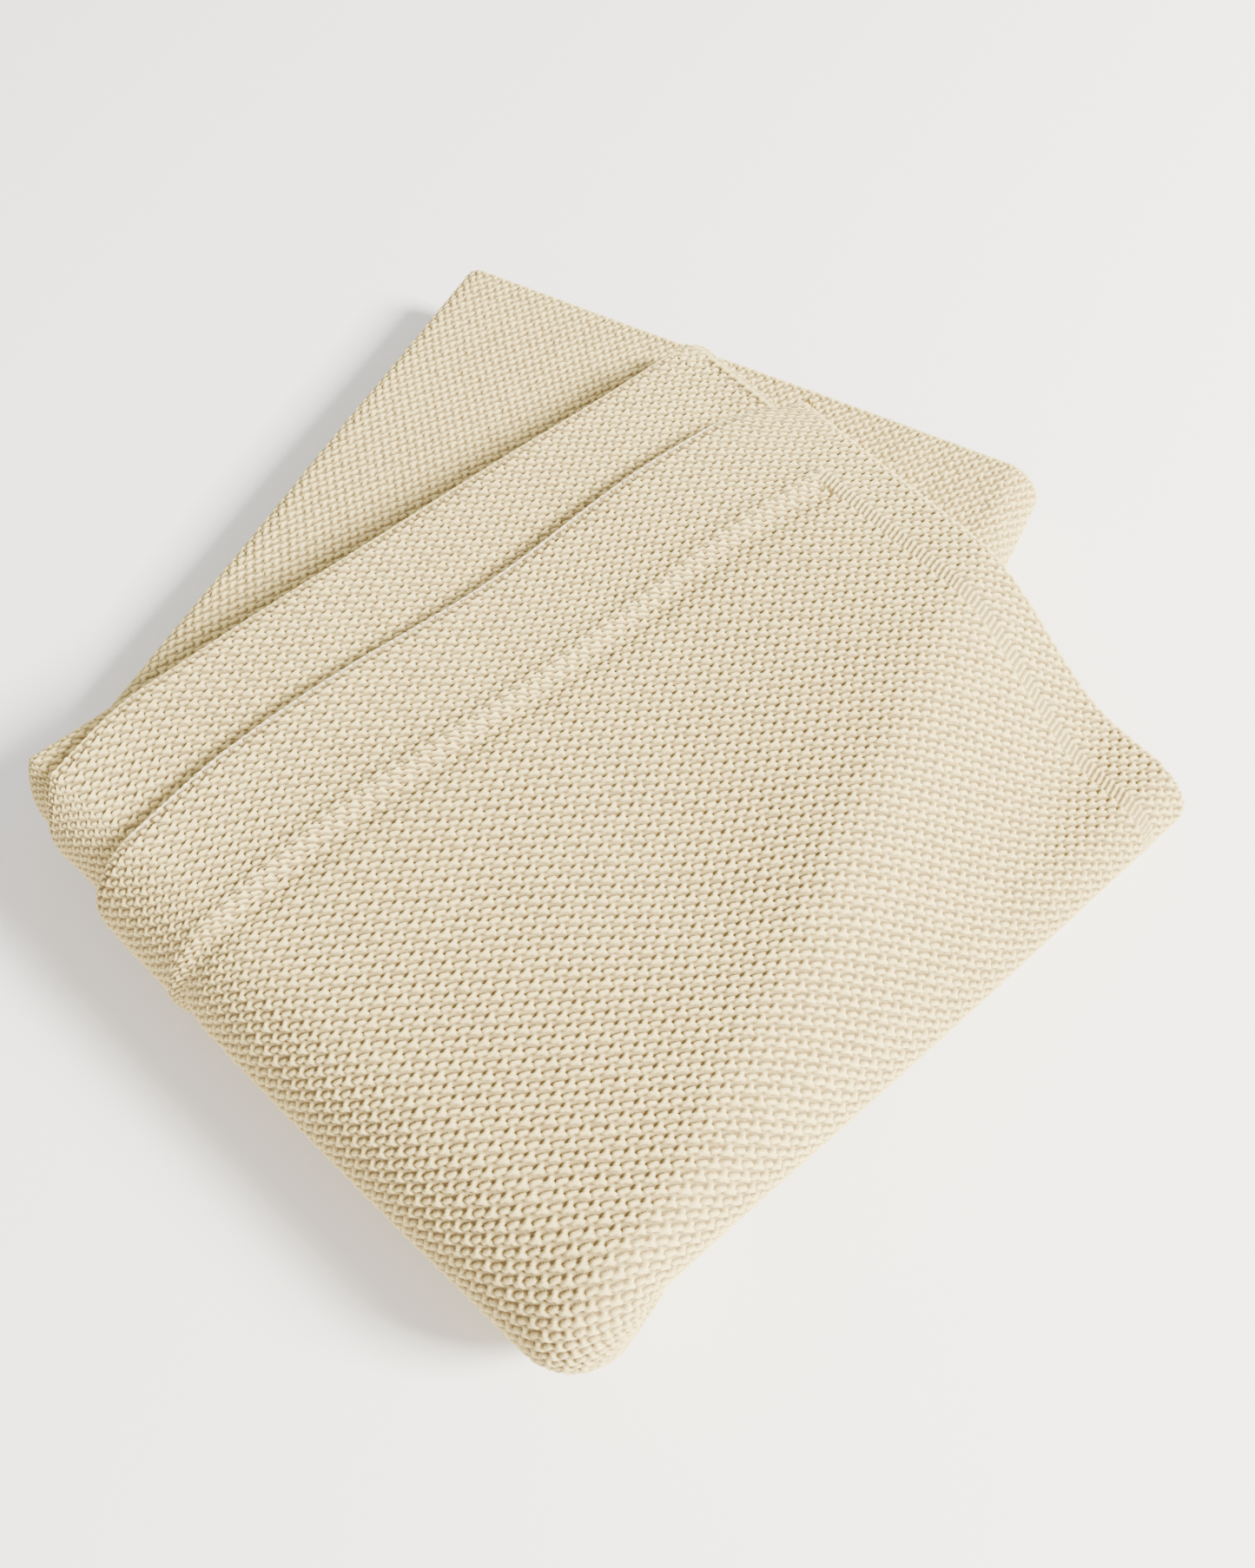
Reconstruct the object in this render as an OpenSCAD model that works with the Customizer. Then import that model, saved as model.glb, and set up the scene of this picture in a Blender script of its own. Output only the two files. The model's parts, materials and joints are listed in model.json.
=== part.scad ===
// Folded knitted throw: one cloth folded to sixteen layers and turned once more about its last fold.
// The cloth is described as a long strip of four leaves, each leaf two layers of knit thick.
// The strip's right part is the upper packet. Its left part is turned under it and is the lower packet.

/* [Cloth] */
// Thickness of one knitted layer, as it lies in the stack
layer_t = 4.7; // [3.5:0.1:5.5]
// Width of the knitted border band around the throw
band_w = 52; // [40:1:64]
// Width of the raised joining row between the band and the field
join_w = 8; // [5:0.5:10]
// Width of the chained edge with its row of eyelets
edge_w = 4; // [3:0.5:6]

/* [Folded size] */
// Width of the folded strip, from its front fold to its back fold
packet_w = 315; // [300:1:340]
// Width of the top leaf, from the front fold to its free edge
top_leaf_w = 251; // [240:1:262]
// Width of the second leaf, from the front fold to its free edge
second_leaf_w = 304; // [290:0.5:306]
// Length of the upper packet, from the last fold to its open end
upper_len = 319; // [300:1:330]
// Length of the lower packet, from the last fold to its folded end
lower_len = 373; // [360:1:385]
// How far the top leaf's end hangs down over the open end
end_drop = 26; // [8:1:30]
// Half of the angle by which the upper packet is turned on the lower one
twist = 11; // [6:0.5:12]

/* [Turned corner] */
// Where the corner's crease meets the top leaf's long edge, back from the open end
corner_x = 180; // [160:5:200]
// Where the corner's crease meets the open end, forward from the long edge
corner_y = 116; // [110:2:136]

/* [Hidden] */
$fn = 64;

cream = [0.93, 0.88, 0.74];
cream_edge = [0.97, 0.94, 0.84];
cream_shade = [0.86, 0.80, 0.66];

leaf_t = 2 * layer_t;
strip_t = 4 * leaf_t;
packet_gap = 0.4;
body_gap = 0.3;
front_r = 2 * leaf_t;
back_r = leaf_t;
axis_z = strip_t + packet_gap / 2;
upper_z = strip_t + packet_gap;
core_gap = 0.25;
end_join_x = upper_len - band_w + end_drop;
second_end_x = upper_len - 3;

// The last fold crosses the strip on a slant, through the middle of its width
fold_mid = [0, packet_w / 2];
fold_normal = [cos(twist), sin(twist)];
function fold_x(y) = -(y - packet_w / 2) * tan(twist);
function turned(p) = p - 2 * ((p - fold_mid) * fold_normal) * fold_normal;

// The origin is the middle of the whole box, on the surface it stands on
lower_flat_end = -lower_len + layer_t;
low_x = fold_x(top_leaf_w) - (strip_t + packet_gap / 2) * cos(twist);
high_x = turned([lower_flat_end, 0])[0];
low_y = -(front_r + packet_gap / 2) * sin(twist);
high_y = turned([lower_flat_end, packet_w])[1];
centre = [(low_x + high_x) / 2, (low_y + high_y) / 2, 0];

// The upper packet sinks to the surface where the lower packet no longer holds it up
sag_depth = upper_z - 0.3;
sag_start = -15;
sag_length = 85;
sag_steps = 14;
function ramp(t) = t <= 0 ? 0 : t >= 1 ? 1 : t * t * (3 - 2 * t);
function sag_at(s) = sag_depth * ramp((s - sag_start) / sag_length);
function past_front(x, y) = (x - fold_x(0)) * sin(2 * twist) - y * cos(2 * twist);

// The crease of the turned corner, as two points in plan and the direction towards the corner
crease_a = [upper_len - corner_x, top_leaf_w];
crease_b = [upper_len, top_leaf_w - corner_y];
crease_dir = (crease_b - crease_a) / norm(crease_b - crease_a);
crease_out = [-crease_dir[1], crease_dir[0]];

// ---- helpers ----

module placed() {
    translate(-centre) children();
}

// Moves what is drawn on the flat strip, inner face at z = 0, into the lower packet
module in_lower() {
    placed()
        translate([0, 0, strip_t])
            mirror([0, 0, 1])
                translate(fold_mid)
                    mirror([fold_normal[0], fold_normal[1], 0])
                        translate(-fold_mid)
                            children();
}

// A slab of the sagging upper packet between two heights above the strip's inner face
module sagging_slab(z_low, z_high) {
    s_list = concat([-600], [for (i = [0:sag_steps]) sag_start + sag_length * i / sag_steps], [200]);
    top_points = [for (s = s_list) [-s, upper_z + z_high - sag_at(s)]];
    low_points = [for (i = [len(s_list) - 1:-1:0]) [-s_list[i], upper_z + z_low - sag_at(s_list[i])]];
    translate([fold_x(0), 0, 0])
        rotate([0, 0, 2 * twist])
            translate([-300, 0, 0])
                rotate([90, 0, 90])
                    linear_extrude(height = 900)
                        polygon(concat(top_points, low_points));
}

module column(outline) {
    translate([0, 0, -10])
        linear_extrude(height = 3 * strip_t)
            polygon(outline);
}

// A piece of the upper packet with this outline in plan, following the sag
module upper_piece(outline, z_low, z_high) {
    placed()
        intersection() {
            sagging_slab(z_low, z_high);
            column(outline);
        }
}

// Half planes on each side of the crease, as big outlines
module crease_side(side) {
    reach = 700;
    shift = side * body_gap / 2 * crease_out;
    p = crease_a - reach * crease_dir + shift;
    q = crease_b + reach * crease_dir + shift;
    column([p, q, q + side * reach * crease_out, p + side * reach * crease_out]);
}

module upper_cut(outline, z_low, z_high, side) {
    placed()
        intersection() {
            sagging_slab(z_low, z_high);
            column(outline);
            crease_side(side);
        }
}

function box_outline(x0, x1, y0, y1) = [[x0, y0], [x1, y0], [x1, y1], [x0, y1]];

// An outline from the last fold to x1
function from_fold(x1, y0, y1) = [
    [fold_x(y0) + body_gap / 2, y0], [x1, y0], [x1, y1], [fold_x(y1) + body_gap / 2, y1]
];

// An outline from the last fold to the folded end, on the flat strip
function to_lower_end(y0, y1) = [
    [fold_x(y0) - body_gap / 2, y0], [fold_x(y1) - body_gap / 2, y1],
    [lower_flat_end, y1], [lower_flat_end, y0]
];

// ---- lower packet ----

module lower_leaf(level, y1) {
    in_lower()
        translate([0, 0, level * leaf_t])
            linear_extrude(height = leaf_t)
                polygon(to_lower_end(front_r, y1));
}

module lower_end_fold(level, y1) {
    in_lower()
        translate([lower_flat_end, front_r, (level + 0.5) * leaf_t])
            rotate([-90, 0, 0])
                intersection() {
                    cylinder(r = layer_t, h = y1 - front_r);
                    translate([-2 * layer_t, -2 * layer_t, -1])
                        cube([2 * layer_t, 4 * layer_t, packet_w]);
                }
}

// A long fold along the lower packet: the ring between two radii, on one side of its own axis
module lower_long_fold(y_axis, z_axis, r_out, r_in, side) {
    in_lower()
        intersection() {
            linear_extrude(height = 2 * strip_t)
                polygon(to_lower_end(-1, packet_w + 1));
            translate([-lower_len - 50, y_axis, z_axis])
                rotate([90, 0, 90])
                    linear_extrude(height = lower_len + 150)
                        intersection() {
                            difference() {
                                circle(r = r_out);
                                if (r_in > 0) circle(r = r_in);
                            }
                            translate([side > 0 ? 0 : -100, -100])
                                square([100, 200]);
                        }
        }
}

module lower_leaf_1() {
    color(cream_shade) lower_leaf(3, top_leaf_w);
}

module lower_leaf_2() {
    color(cream_shade) lower_leaf(2, second_leaf_w);
}

module lower_leaf_3() {
    color(cream_shade) lower_leaf(1, packet_w - back_r);
}

module lower_leaf_4() {
    color(cream) lower_leaf(0, packet_w - back_r);
}

module lower_end_fold_1() {
    color(cream_shade) lower_end_fold(3, top_leaf_w);
}

module lower_end_fold_2() {
    color(cream_shade) lower_end_fold(2, second_leaf_w);
}

module lower_end_fold_3() {
    color(cream_shade) lower_end_fold(1, packet_w - back_r);
}

module lower_end_fold_4() {
    color(cream) lower_end_fold(0, packet_w - back_r);
}

module lower_front_fold() {
    color(cream) lower_long_fold(front_r, 2 * leaf_t, front_r, leaf_t, -1);
}

module lower_core_fold() {
    color(cream_shade) lower_long_fold(front_r, 2 * leaf_t, leaf_t, 0, -1);
}

module lower_back_fold() {
    color(cream) lower_long_fold(packet_w - back_r, leaf_t, back_r, 0, 1);
}

// ---- the last fold, where the strip turns from the lower to the upper packet ----

// The strip's cross-section: across is the distance from the fold's axis, up is towards the front
module strip_section() {
    base = packet_gap / 2;
    stretch = 1 / cos(twist);
    translate([base + front_r, (packet_w / 2 - front_r) * stretch])
        circle(r = front_r);
    for (leaf = [[0, packet_w - back_r], [1, packet_w - back_r], [2, second_leaf_w], [3, top_leaf_w]]) {
        run = (leaf[1] - front_r) * stretch;
        translate([base + leaf[0] * leaf_t, (packet_w / 2 - leaf[1]) * stretch])
            square([leaf_t, run]);
    }
    translate([base + back_r, (back_r - packet_w / 2) * stretch])
        circle(r = back_r);
}

module turn_fold(r_low, r_high) {
    placed()
        translate([0, packet_w / 2, axis_z])
            rotate([0, 0, twist])
                rotate([0, -90, 0])
                    rotate([90, 0, 0])
                        rotate_extrude(angle = 180)
                            intersection() {
                                strip_section();
                                translate([r_low, -packet_w])
                                    square([r_high - r_low, 2 * packet_w]);
                            }
}

module turn_fold_inner() {
    color(cream_shade) turn_fold(packet_gap / 2, packet_gap / 2 + 2 * leaf_t);
}

module turn_fold_outer() {
    color(cream) turn_fold(packet_gap / 2 + 2 * leaf_t, packet_gap / 2 + strip_t);
}

// ---- upper packet ----

// A long fold along the sagging front of the upper packet, as rings of points joined into one solid
module sagging_fold(r_out, r_in) {
    stations = 16;
    arc_steps = 10;
    ring = concat(
        [for (i = [0:arc_steps]) let (a = 90 + 180 * i / arc_steps) r_out * [cos(a), sin(a)]],
        r_in > 0 ? [for (i = [arc_steps:-1:0]) let (a = 90 + 180 * i / arc_steps) r_in * [cos(a), sin(a)]]
                 : []
    );
    n = len(ring);
    points = [
        for (k = [0:stations], p = ring)
            let (
                y = front_r + p[0],
                x_first = fold_x(y) + body_gap / 2,
                x = x_first + (upper_len - x_first) * k / stations
            )
            [x, y, upper_z + front_r + p[1] - sag_at(past_front(x, y))]
    ];
    sides = [
        for (k = [0:stations - 1], i = [0:n - 1])
            let (j = (i + 1) % n)
            [k * n + i, k * n + j, (k + 1) * n + j, (k + 1) * n + i]
    ];
    first = [for (i = [n - 1:-1:0]) i];
    last = [for (i = [0:n - 1]) stations * n + i];
    placed() polyhedron(points = points, faces = concat([first], sides, [last]), convexity = 4);
}

module upper_leaf_1() {
    color(cream_shade)
        upper_piece(from_fold(upper_len, front_r, packet_w - back_r), 0, leaf_t);
}

module upper_leaf_2() {
    color(cream_shade)
        upper_piece(from_fold(upper_len, front_r, packet_w - back_r), leaf_t, 2 * leaf_t);
}

module upper_back_fold() {
    color(cream)
        placed()
            intersection() {
                column(from_fold(upper_len, front_r, packet_w + 1));
                translate([-200, packet_w - back_r, upper_z + leaf_t])
                    rotate([90, 0, 90])
                        linear_extrude(height = upper_len + 400)
                            intersection() {
                                circle(r = back_r);
                                translate([0, -50]) square(100);
                            }
            }
}

module upper_front_fold() {
    color(cream) sagging_fold(front_r, leaf_t);
}

module upper_core_fold() {
    color(cream_shade) sagging_fold(leaf_t - core_gap, 0);
}

// ---- second leaf: the layer whose free edge shows beyond the top leaf ----

second_z = 2 * leaf_t;
second_body = from_fold(second_end_x - edge_w, front_r, second_leaf_w - edge_w);
second_side = from_fold(second_end_x, second_leaf_w - edge_w, second_leaf_w);
second_end = box_outline(second_end_x - edge_w, second_end_x, front_r, second_leaf_w - edge_w);

module second_leaf() {
    color(cream) upper_cut(second_body, second_z, second_z + leaf_t, -1);
}

module second_side_edge() {
    color(cream_edge) upper_cut(second_side, second_z, second_z + leaf_t, -1);
}

module second_end_edge() {
    color(cream_edge) upper_cut(second_end, second_z, second_z + leaf_t, -1);
}

module second_corner() {
    color(cream) upper_cut(second_body, second_z + body_gap, second_z + leaf_t - body_gap, 1);
}

module second_corner_side_edge() {
    color(cream_edge) upper_cut(second_side, second_z + body_gap, second_z + leaf_t - body_gap, 1);
}

module second_corner_end_edge() {
    color(cream_edge) upper_cut(second_end, second_z + body_gap, second_z + leaf_t - body_gap, 1);
}

// ---- top leaf: lining layer below, and the face with its bands, joins and edges ----

lining_z = 3 * leaf_t;
face_z = lining_z + layer_t;
side_band_y = top_leaf_w - band_w;
side_join_y = side_band_y - join_w;
end_band_x = end_join_x + join_w;

lining_area = from_fold(upper_len, front_r, top_leaf_w - edge_w);
field_area = from_fold(end_join_x, front_r, side_join_y);
end_join_area = box_outline(end_join_x, end_band_x, front_r, side_join_y);
end_band_area = box_outline(end_band_x, upper_len, front_r, side_band_y);
end_edge_area = box_outline(upper_len + body_gap, upper_len + body_gap + layer_t, front_r, top_leaf_w);
side_join_area = from_fold(end_band_x, side_join_y, side_band_y);
side_band_area = from_fold(upper_len, side_band_y, top_leaf_w - edge_w);
side_edge_area = from_fold(upper_len, top_leaf_w - edge_w, top_leaf_w);

module top_lining() {
    color(cream_shade) upper_cut(lining_area, lining_z, face_z, -1);
}

module top_field() {
    color(cream) upper_cut(field_area, face_z, strip_t, -1);
}

module top_end_join() {
    color(cream_edge) upper_cut(end_join_area, face_z, strip_t, -1);
}

module top_end_band() {
    color(cream) upper_cut(end_band_area, face_z, strip_t, -1);
}

module top_end_edge() {
    color(cream_edge) upper_cut(end_edge_area, strip_t - end_drop, strip_t, -1);
}

module top_side_join() {
    color(cream_edge) upper_cut(side_join_area, face_z, strip_t, -1);
}

module top_side_band() {
    color(cream) upper_cut(side_band_area, face_z, strip_t, -1);
}

module top_side_edge() {
    color(cream_edge) upper_cut(side_edge_area, face_z, strip_t, -1);
}

module corner_lining() {
    color(cream_shade) upper_cut(lining_area, lining_z, face_z, 1);
}

module corner_field() {
    color(cream) upper_cut(field_area, face_z, strip_t, 1);
}

module corner_end_join() {
    color(cream_edge) upper_cut(end_join_area, face_z, strip_t, 1);
}

module corner_end_band() {
    color(cream) upper_cut(end_band_area, face_z, strip_t, 1);
}

module corner_end_edge() {
    color(cream_edge) upper_cut(end_edge_area, strip_t - end_drop, strip_t, 1);
}

module corner_side_join() {
    color(cream_edge) upper_cut(side_join_area, face_z, strip_t, 1);
}

module corner_side_band() {
    color(cream) upper_cut(side_band_area, face_z, strip_t, 1);
}

module corner_side_edge() {
    color(cream_edge) upper_cut(side_edge_area, face_z, strip_t, 1);
}

lower_leaf_1();
lower_leaf_2();
lower_leaf_3();
lower_leaf_4();
lower_end_fold_1();
lower_end_fold_2();
lower_end_fold_3();
lower_end_fold_4();
lower_front_fold();
lower_core_fold();
lower_back_fold();
turn_fold_inner();
turn_fold_outer();
upper_leaf_1();
upper_leaf_2();
upper_back_fold();
upper_front_fold();
upper_core_fold();
second_leaf();
second_side_edge();
second_end_edge();
second_corner();
second_corner_side_edge();
second_corner_end_edge();
top_lining();
top_field();
top_end_join();
top_end_band();
top_end_edge();
top_side_join();
top_side_band();
top_side_edge();
corner_lining();
corner_field();
corner_end_join();
corner_end_band();
corner_end_edge();
corner_side_join();
corner_side_band();
corner_side_edge();
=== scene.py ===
import json
import math

import bpy
import numpy as np
from mathutils import Matrix, Vector


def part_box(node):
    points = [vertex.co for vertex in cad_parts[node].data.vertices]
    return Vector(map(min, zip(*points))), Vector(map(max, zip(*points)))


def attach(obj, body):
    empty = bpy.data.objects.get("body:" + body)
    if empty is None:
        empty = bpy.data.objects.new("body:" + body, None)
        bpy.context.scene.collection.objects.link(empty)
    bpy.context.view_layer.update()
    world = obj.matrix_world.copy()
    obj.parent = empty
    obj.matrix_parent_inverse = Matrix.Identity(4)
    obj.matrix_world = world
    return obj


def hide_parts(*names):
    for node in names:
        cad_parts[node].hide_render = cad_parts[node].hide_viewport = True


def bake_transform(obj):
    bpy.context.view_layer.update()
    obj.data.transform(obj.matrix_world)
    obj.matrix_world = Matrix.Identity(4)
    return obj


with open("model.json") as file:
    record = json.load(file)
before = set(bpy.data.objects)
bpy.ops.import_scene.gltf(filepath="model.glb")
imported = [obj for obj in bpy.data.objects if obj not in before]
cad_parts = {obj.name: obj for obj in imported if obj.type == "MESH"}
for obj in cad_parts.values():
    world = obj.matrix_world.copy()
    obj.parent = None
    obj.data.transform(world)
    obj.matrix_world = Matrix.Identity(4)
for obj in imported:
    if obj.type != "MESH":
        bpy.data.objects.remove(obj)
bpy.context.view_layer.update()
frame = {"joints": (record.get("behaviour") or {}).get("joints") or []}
joints = {joint["name"]: joint for joint in frame["joints"]}

# ---- sizes, all in metres ----
# The folded blanket is a flat strip of four leaves, folded once more on a slanting line, the last fold.
# Strip coordinates are x along the strip, y across it and z above its inner face.

# as in the CAD: one layer of cloth, a leaf of two layers, and the strip's four leaves
LAYER = 0.0047
LEAF = 2 * LAYER
STRIP = 4 * LEAF
FRONT_R = 2 * LEAF
BACK_R = LEAF
GAP = 0.0004
END_DROP = 0.026
# a layer's edge is a half round of this radius, and the cloth runs on inside for TUCK
EDGE_R = 0.0021
HALF = math.pi / 2
LIP = math.pi * EDGE_R
TUCK = 0.012
# one stitch
CELL_X = 0.0032
CELL_Y = 0.0025

hinge = joints["last_fold"]
TWIST = math.asin(hinge["axis"][0])
FOLD = np.array(hinge["pos_m"][:2])
NORMAL = np.array([math.cos(TWIST), math.sin(TWIST)])
AXIS_Z = hinge["pos_m"][2]
UPPER_Z = AXIS_Z + GAP / 2
TURN_R = STRIP + GAP / 2
TURN_LEN = math.pi * TURN_R
WIDTH = 2 * (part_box("upper_back_fold")[1].y - FOLD[1])
FRONT_Y = FOLD[1] - WIDTH / 2


def far_x(node):
    """How far a node of the CAD reaches along the strip, from the last fold's middle."""
    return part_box(node)[1].x - FOLD[0]


def near_y(node):
    """Where a node of the CAD begins across the strip."""
    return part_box(node)[0].y - FRONT_Y


def far_y(node):
    """Where a node of the CAD ends across the strip."""
    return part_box(node)[1].y - FRONT_Y


TOP_W = far_y("top_side_edge")
SECOND_W = far_y("second_side_edge")
BAND = TOP_W - near_y("top_side_band")
JOIN = TOP_W - BAND - near_y("top_side_join")
UPPER_LEN = far_x("upper_leaf_1")
END_TOP = UPPER_LEN + END_DROP
END_SECOND = far_x("second_end_edge")
END_BAND = END_TOP - far_x("top_end_join")


def ramp(t):
    """A smooth step from 0 to 1."""
    t = np.clip(t, 0, 1)
    return t * t * (3 - 2 * t)


def hump(t, middle, spread):
    """A smooth bump, 1 at the middle."""
    return np.exp(-(((t - middle) / spread) ** 2))


def blend(a, b, share):
    return a * (1 - share) + b * share


# ---- the folded strip: from a point on the flat strip to a point in the stack ----

# what is left between the floor and the upper packet where it has sunk down
FLOOR_GAP = 0.0003
# the upper packet sinks where it lies past the lower packet: it begins this far inside and takes this long
SAG_INSIDE, SAG_RUN = 0.015, 0.085
# the last turn stands out less and less towards the back
BULGE_FRONT, BULGE_LOSS, BULGE_POWER = 1.08, 0.56, 1.5
# its front corner swells and its back corner draws in: how much, and over what width
SWELL, SWELL_RUN = 0.005, 0.05
DRAW, DRAW_RUN = 0.012, 0.06


def fold_x(y):
    """Where the upper packet ends and the last turn begins."""
    return -(y - WIDTH / 2) * math.tan(TWIST)


def turn_end(y):
    """Where the last turn ends and the lower packet begins."""
    return fold_x(y) - TURN_LEN


# the lower packet's far end on the strip, found from its turned corner in the CAD's box
LOWER_END = (far_x("lower_leaf_4") + 2 * (FRONT_R - WIDTH / 2) * NORMAL[0] * NORMAL[1]) / (
    1 - 2 * NORMAL[0] ** 2
)
LOWER_X = LOWER_END - TURN_LEN


def sag(x, y):
    """How far the upper packet lies below the lower packet's top."""
    past = (x - fold_x(0)) * math.sin(2 * TWIST) - y * math.cos(2 * TWIST)
    return (UPPER_Z - FLOOR_GAP) * ramp((past + SAG_INSIDE) / SAG_RUN)


def place(x, y, z):
    """The point of the stack for strip coordinates. x runs on through the turn into the lower packet."""
    first = fold_x(y)
    upper = x >= first
    lower = x <= first - TURN_LEN
    xu = np.where(upper, x, first)
    px, py, pz = xu, y - WIDTH / 2, UPPER_Z + z - sag(xu, y)
    # in the turn the rows run on straight in plan
    theta = np.clip((first - x) / TURN_R, 0, math.pi)
    rho = z + GAP / 2
    bulge = BULGE_FRONT - BULGE_LOSS * np.clip(y / WIDTH, 0, 1) ** BULGE_POWER
    corners = SWELL * ramp((SWELL_RUN - y) / SWELL_RUN) + DRAW * ramp((y - WIDTH + DRAW_RUN) / DRAW_RUN)
    tx = first - rho * np.sin(theta) / math.cos(TWIST) * bulge
    ty = py - np.sin(theta) * corners
    tz = AXIS_Z + rho * np.cos(theta) - sag(first, y) * np.cos(theta / 2) ** 2
    # in the lower packet the strip is reflected across the fold
    xl = np.minimum(x + TURN_LEN, first)
    d = xl * NORMAL[0] + py * NORMAL[1]
    lx, ly, lz = xl - 2 * d * NORMAL[0], py - 2 * d * NORMAL[1], STRIP - z
    out = np.stack([np.where(upper, px, tx), np.where(upper, py, ty), np.where(upper, pz, tz)], -1)
    out = np.where(lower[..., None], np.stack([lx, ly, lz], -1), out)
    out[..., 0] += FOLD[0]
    out[..., 1] += FOLD[1]
    return out


# ---- lines across the strip ----


class Across:
    """A line across the strip, made of straight runs and arcs. at(q) gives y and z at q along it.

    A leaf's face can have a free corner (width, end, radius), a free edge that slants in towards the last
    fold, and waves in that edge. These act up to the distance leaf along the line."""

    def __init__(self, *parts, corner=None, slant=0.0, wave=0.0, leaf=math.inf):
        self.corner, self.slant, self.wave, self.leaf = corner, slant, wave, leaf
        self.parts = []
        start = 0.0
        for kind, *data in parts:
            if kind == "line":
                (y0, z0), (y1, z1) = data
                size = math.hypot(y1 - y0, z1 - z0)
            else:
                _, _, radius, a0, a1 = data
                size = radius * abs(a1 - a0)
            self.parts.append((kind, data, start, size))
            start += size
        self.length = start

    def at(self, q):
        y, z = np.zeros_like(q), np.zeros_like(q)
        last = len(self.parts) - 1
        for k, (kind, data, start, size) in enumerate(self.parts):
            # the first and last parts also serve what lies beyond them
            here = (q >= start if k else q > -math.inf) & (q < start + size if k < last else q < math.inf)
            t = (q[here] - start) / size
            if kind == "line":
                (y0, z0), (y1, z1) = data
                y[here], z[here] = y0 + (y1 - y0) * t, z0 + (z1 - z0) * t
            else:
                yc, zc, radius, a0, a1 = data
                a = a0 + (a1 - a0) * t
                y[here], z[here] = yc + radius * np.cos(a), zc + radius * np.sin(a)
        return y, z


FRONT_TURN = (FRONT_R, FRONT_R)
BACK_TURN = (WIDTH - BACK_R, BACK_R)
# distances along OUTER, from the tuck inside the top leaf's free edge
Q_EDGE = TUCK + LIP / 2
Q_FRONT = TUCK + LIP + TOP_W - EDGE_R - FRONT_R
Q_UNDER = Q_FRONT + math.pi * FRONT_R
Q_BACK = Q_UNDER + WIDTH - BACK_R - FRONT_R
Q_THIRD = Q_BACK + math.pi * BACK_R


def edge_of(y, z, inwards):
    """The tuck and the rounded edge of a layer whose top is at z and whose free edge is at y."""
    yc, zc = y - EDGE_R, z - EDGE_R
    return (
        ("line", (yc - inwards, zc - EDGE_R), (yc, zc - EDGE_R)),
        ("arc", yc, zc, EDGE_R, -HALF, HALF),
    )


# the outer skin: top leaf, front fold, fourth leaf, back fold, third leaf
TOP_CORNER_END, TOP_CORNER_R = UPPER_LEN + 0.006, 0.045
TOP_FREE = dict(slant=0.008, wave=0.0021)
OUTER = Across(
    *edge_of(TOP_W, STRIP, TUCK),
    ("line", (TOP_W - EDGE_R, STRIP), (FRONT_R, STRIP)),
    ("arc", *FRONT_TURN, FRONT_R, HALF, 3 * HALF),
    ("line", (FRONT_R, 0), (WIDTH - BACK_R, 0)),
    ("arc", *BACK_TURN, BACK_R, -HALF, HALF),
    ("line", (WIDTH - BACK_R, 2 * LEAF), (FRONT_R, 2 * LEAF)),
    corner=(TOP_W, TOP_CORNER_END, TOP_CORNER_R),
    leaf=Q_FRONT,
    **TOP_FREE,
)

# the second leaf's face, seen beyond the top leaf's free edge
SECOND_SLANT = 0.018
SECOND = Across(
    *edge_of(SECOND_W, 3 * LEAF, TUCK),
    ("line", (SECOND_W - EDGE_R, 3 * LEAF), (FRONT_R, 3 * LEAF)),
    ("arc", *FRONT_TURN, LEAF, HALF, 3 * HALF),
    corner=(SECOND_W, END_SECOND, 0.010),
    slant=SECOND_SLANT,
)

# the top leaf's underside, a little narrower, with its edge at Q_LINING
LINING_W = TOP_W - 0.0015
LINING_IN = LINING_W - EDGE_R - FRONT_R
TOP_LINING = Across(
    *edge_of(LINING_W, STRIP - LAYER, LINING_IN),
    ("line", (LINING_W - EDGE_R, STRIP - LAYER), (FRONT_R, STRIP - LAYER)),
    corner=(LINING_W, TOP_CORNER_END, TOP_CORNER_R),
    **TOP_FREE,
)
Q_LINING = LINING_IN + LIP / 2

# the layer under the second leaf's face, of which only the edges show
SECOND_LINING_W = SECOND_W - 0.002
SECOND_LINING = Across(
    *edge_of(SECOND_LINING_W, 3 * LEAF - LAYER, TUCK),
    ("line", (SECOND_LINING_W - EDGE_R, 3 * LEAF - LAYER), (FRONT_R, 3 * LEAF - LAYER)),
    ("arc", *FRONT_TURN, LEAF - LAYER, HALF, 3 * HALF),
    slant=SECOND_SLANT,
)

# the inner layer of the front fold and of the fourth and third leaf, of which only the ends show
INNER = Across(
    ("arc", *FRONT_TURN, FRONT_R - LAYER, HALF, 3 * HALF),
    ("line", (FRONT_R, LAYER), (WIDTH - BACK_R, LAYER)),
    ("arc", *BACK_TURN, BACK_R - LAYER, -HALF, HALF),
    ("line", (WIDTH - BACK_R, 2 * LEAF - LAYER), (FRONT_R, 2 * LEAF - LAYER)),
)


# ---- the moss stitch ----

TILE = 96
RELIEF = 0.92
SOFTENING = 6
GROUND = -0.55
UNEVEN = 256


def strand(u, v, a, b, radius, lift_a, lift_b):
    """Height of a yarn piece from a to b, in the tile's millimetres, as a round bar."""
    ax, ay = a
    bx, by = b
    dx, dy = bx - ax, by - ay
    t = np.clip(((u - ax) * dx + (v - ay) * dy) / (dx * dx + dy * dy), 0, 1)
    d2 = (u - ax - t * dx) ** 2 + (v - ay - t * dy) ** 2
    top = lift_a + (lift_b - lift_a) * t + np.sqrt(np.maximum(radius**2 - d2, 0))
    return np.where(d2 > radius**2, -9, top)


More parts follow.
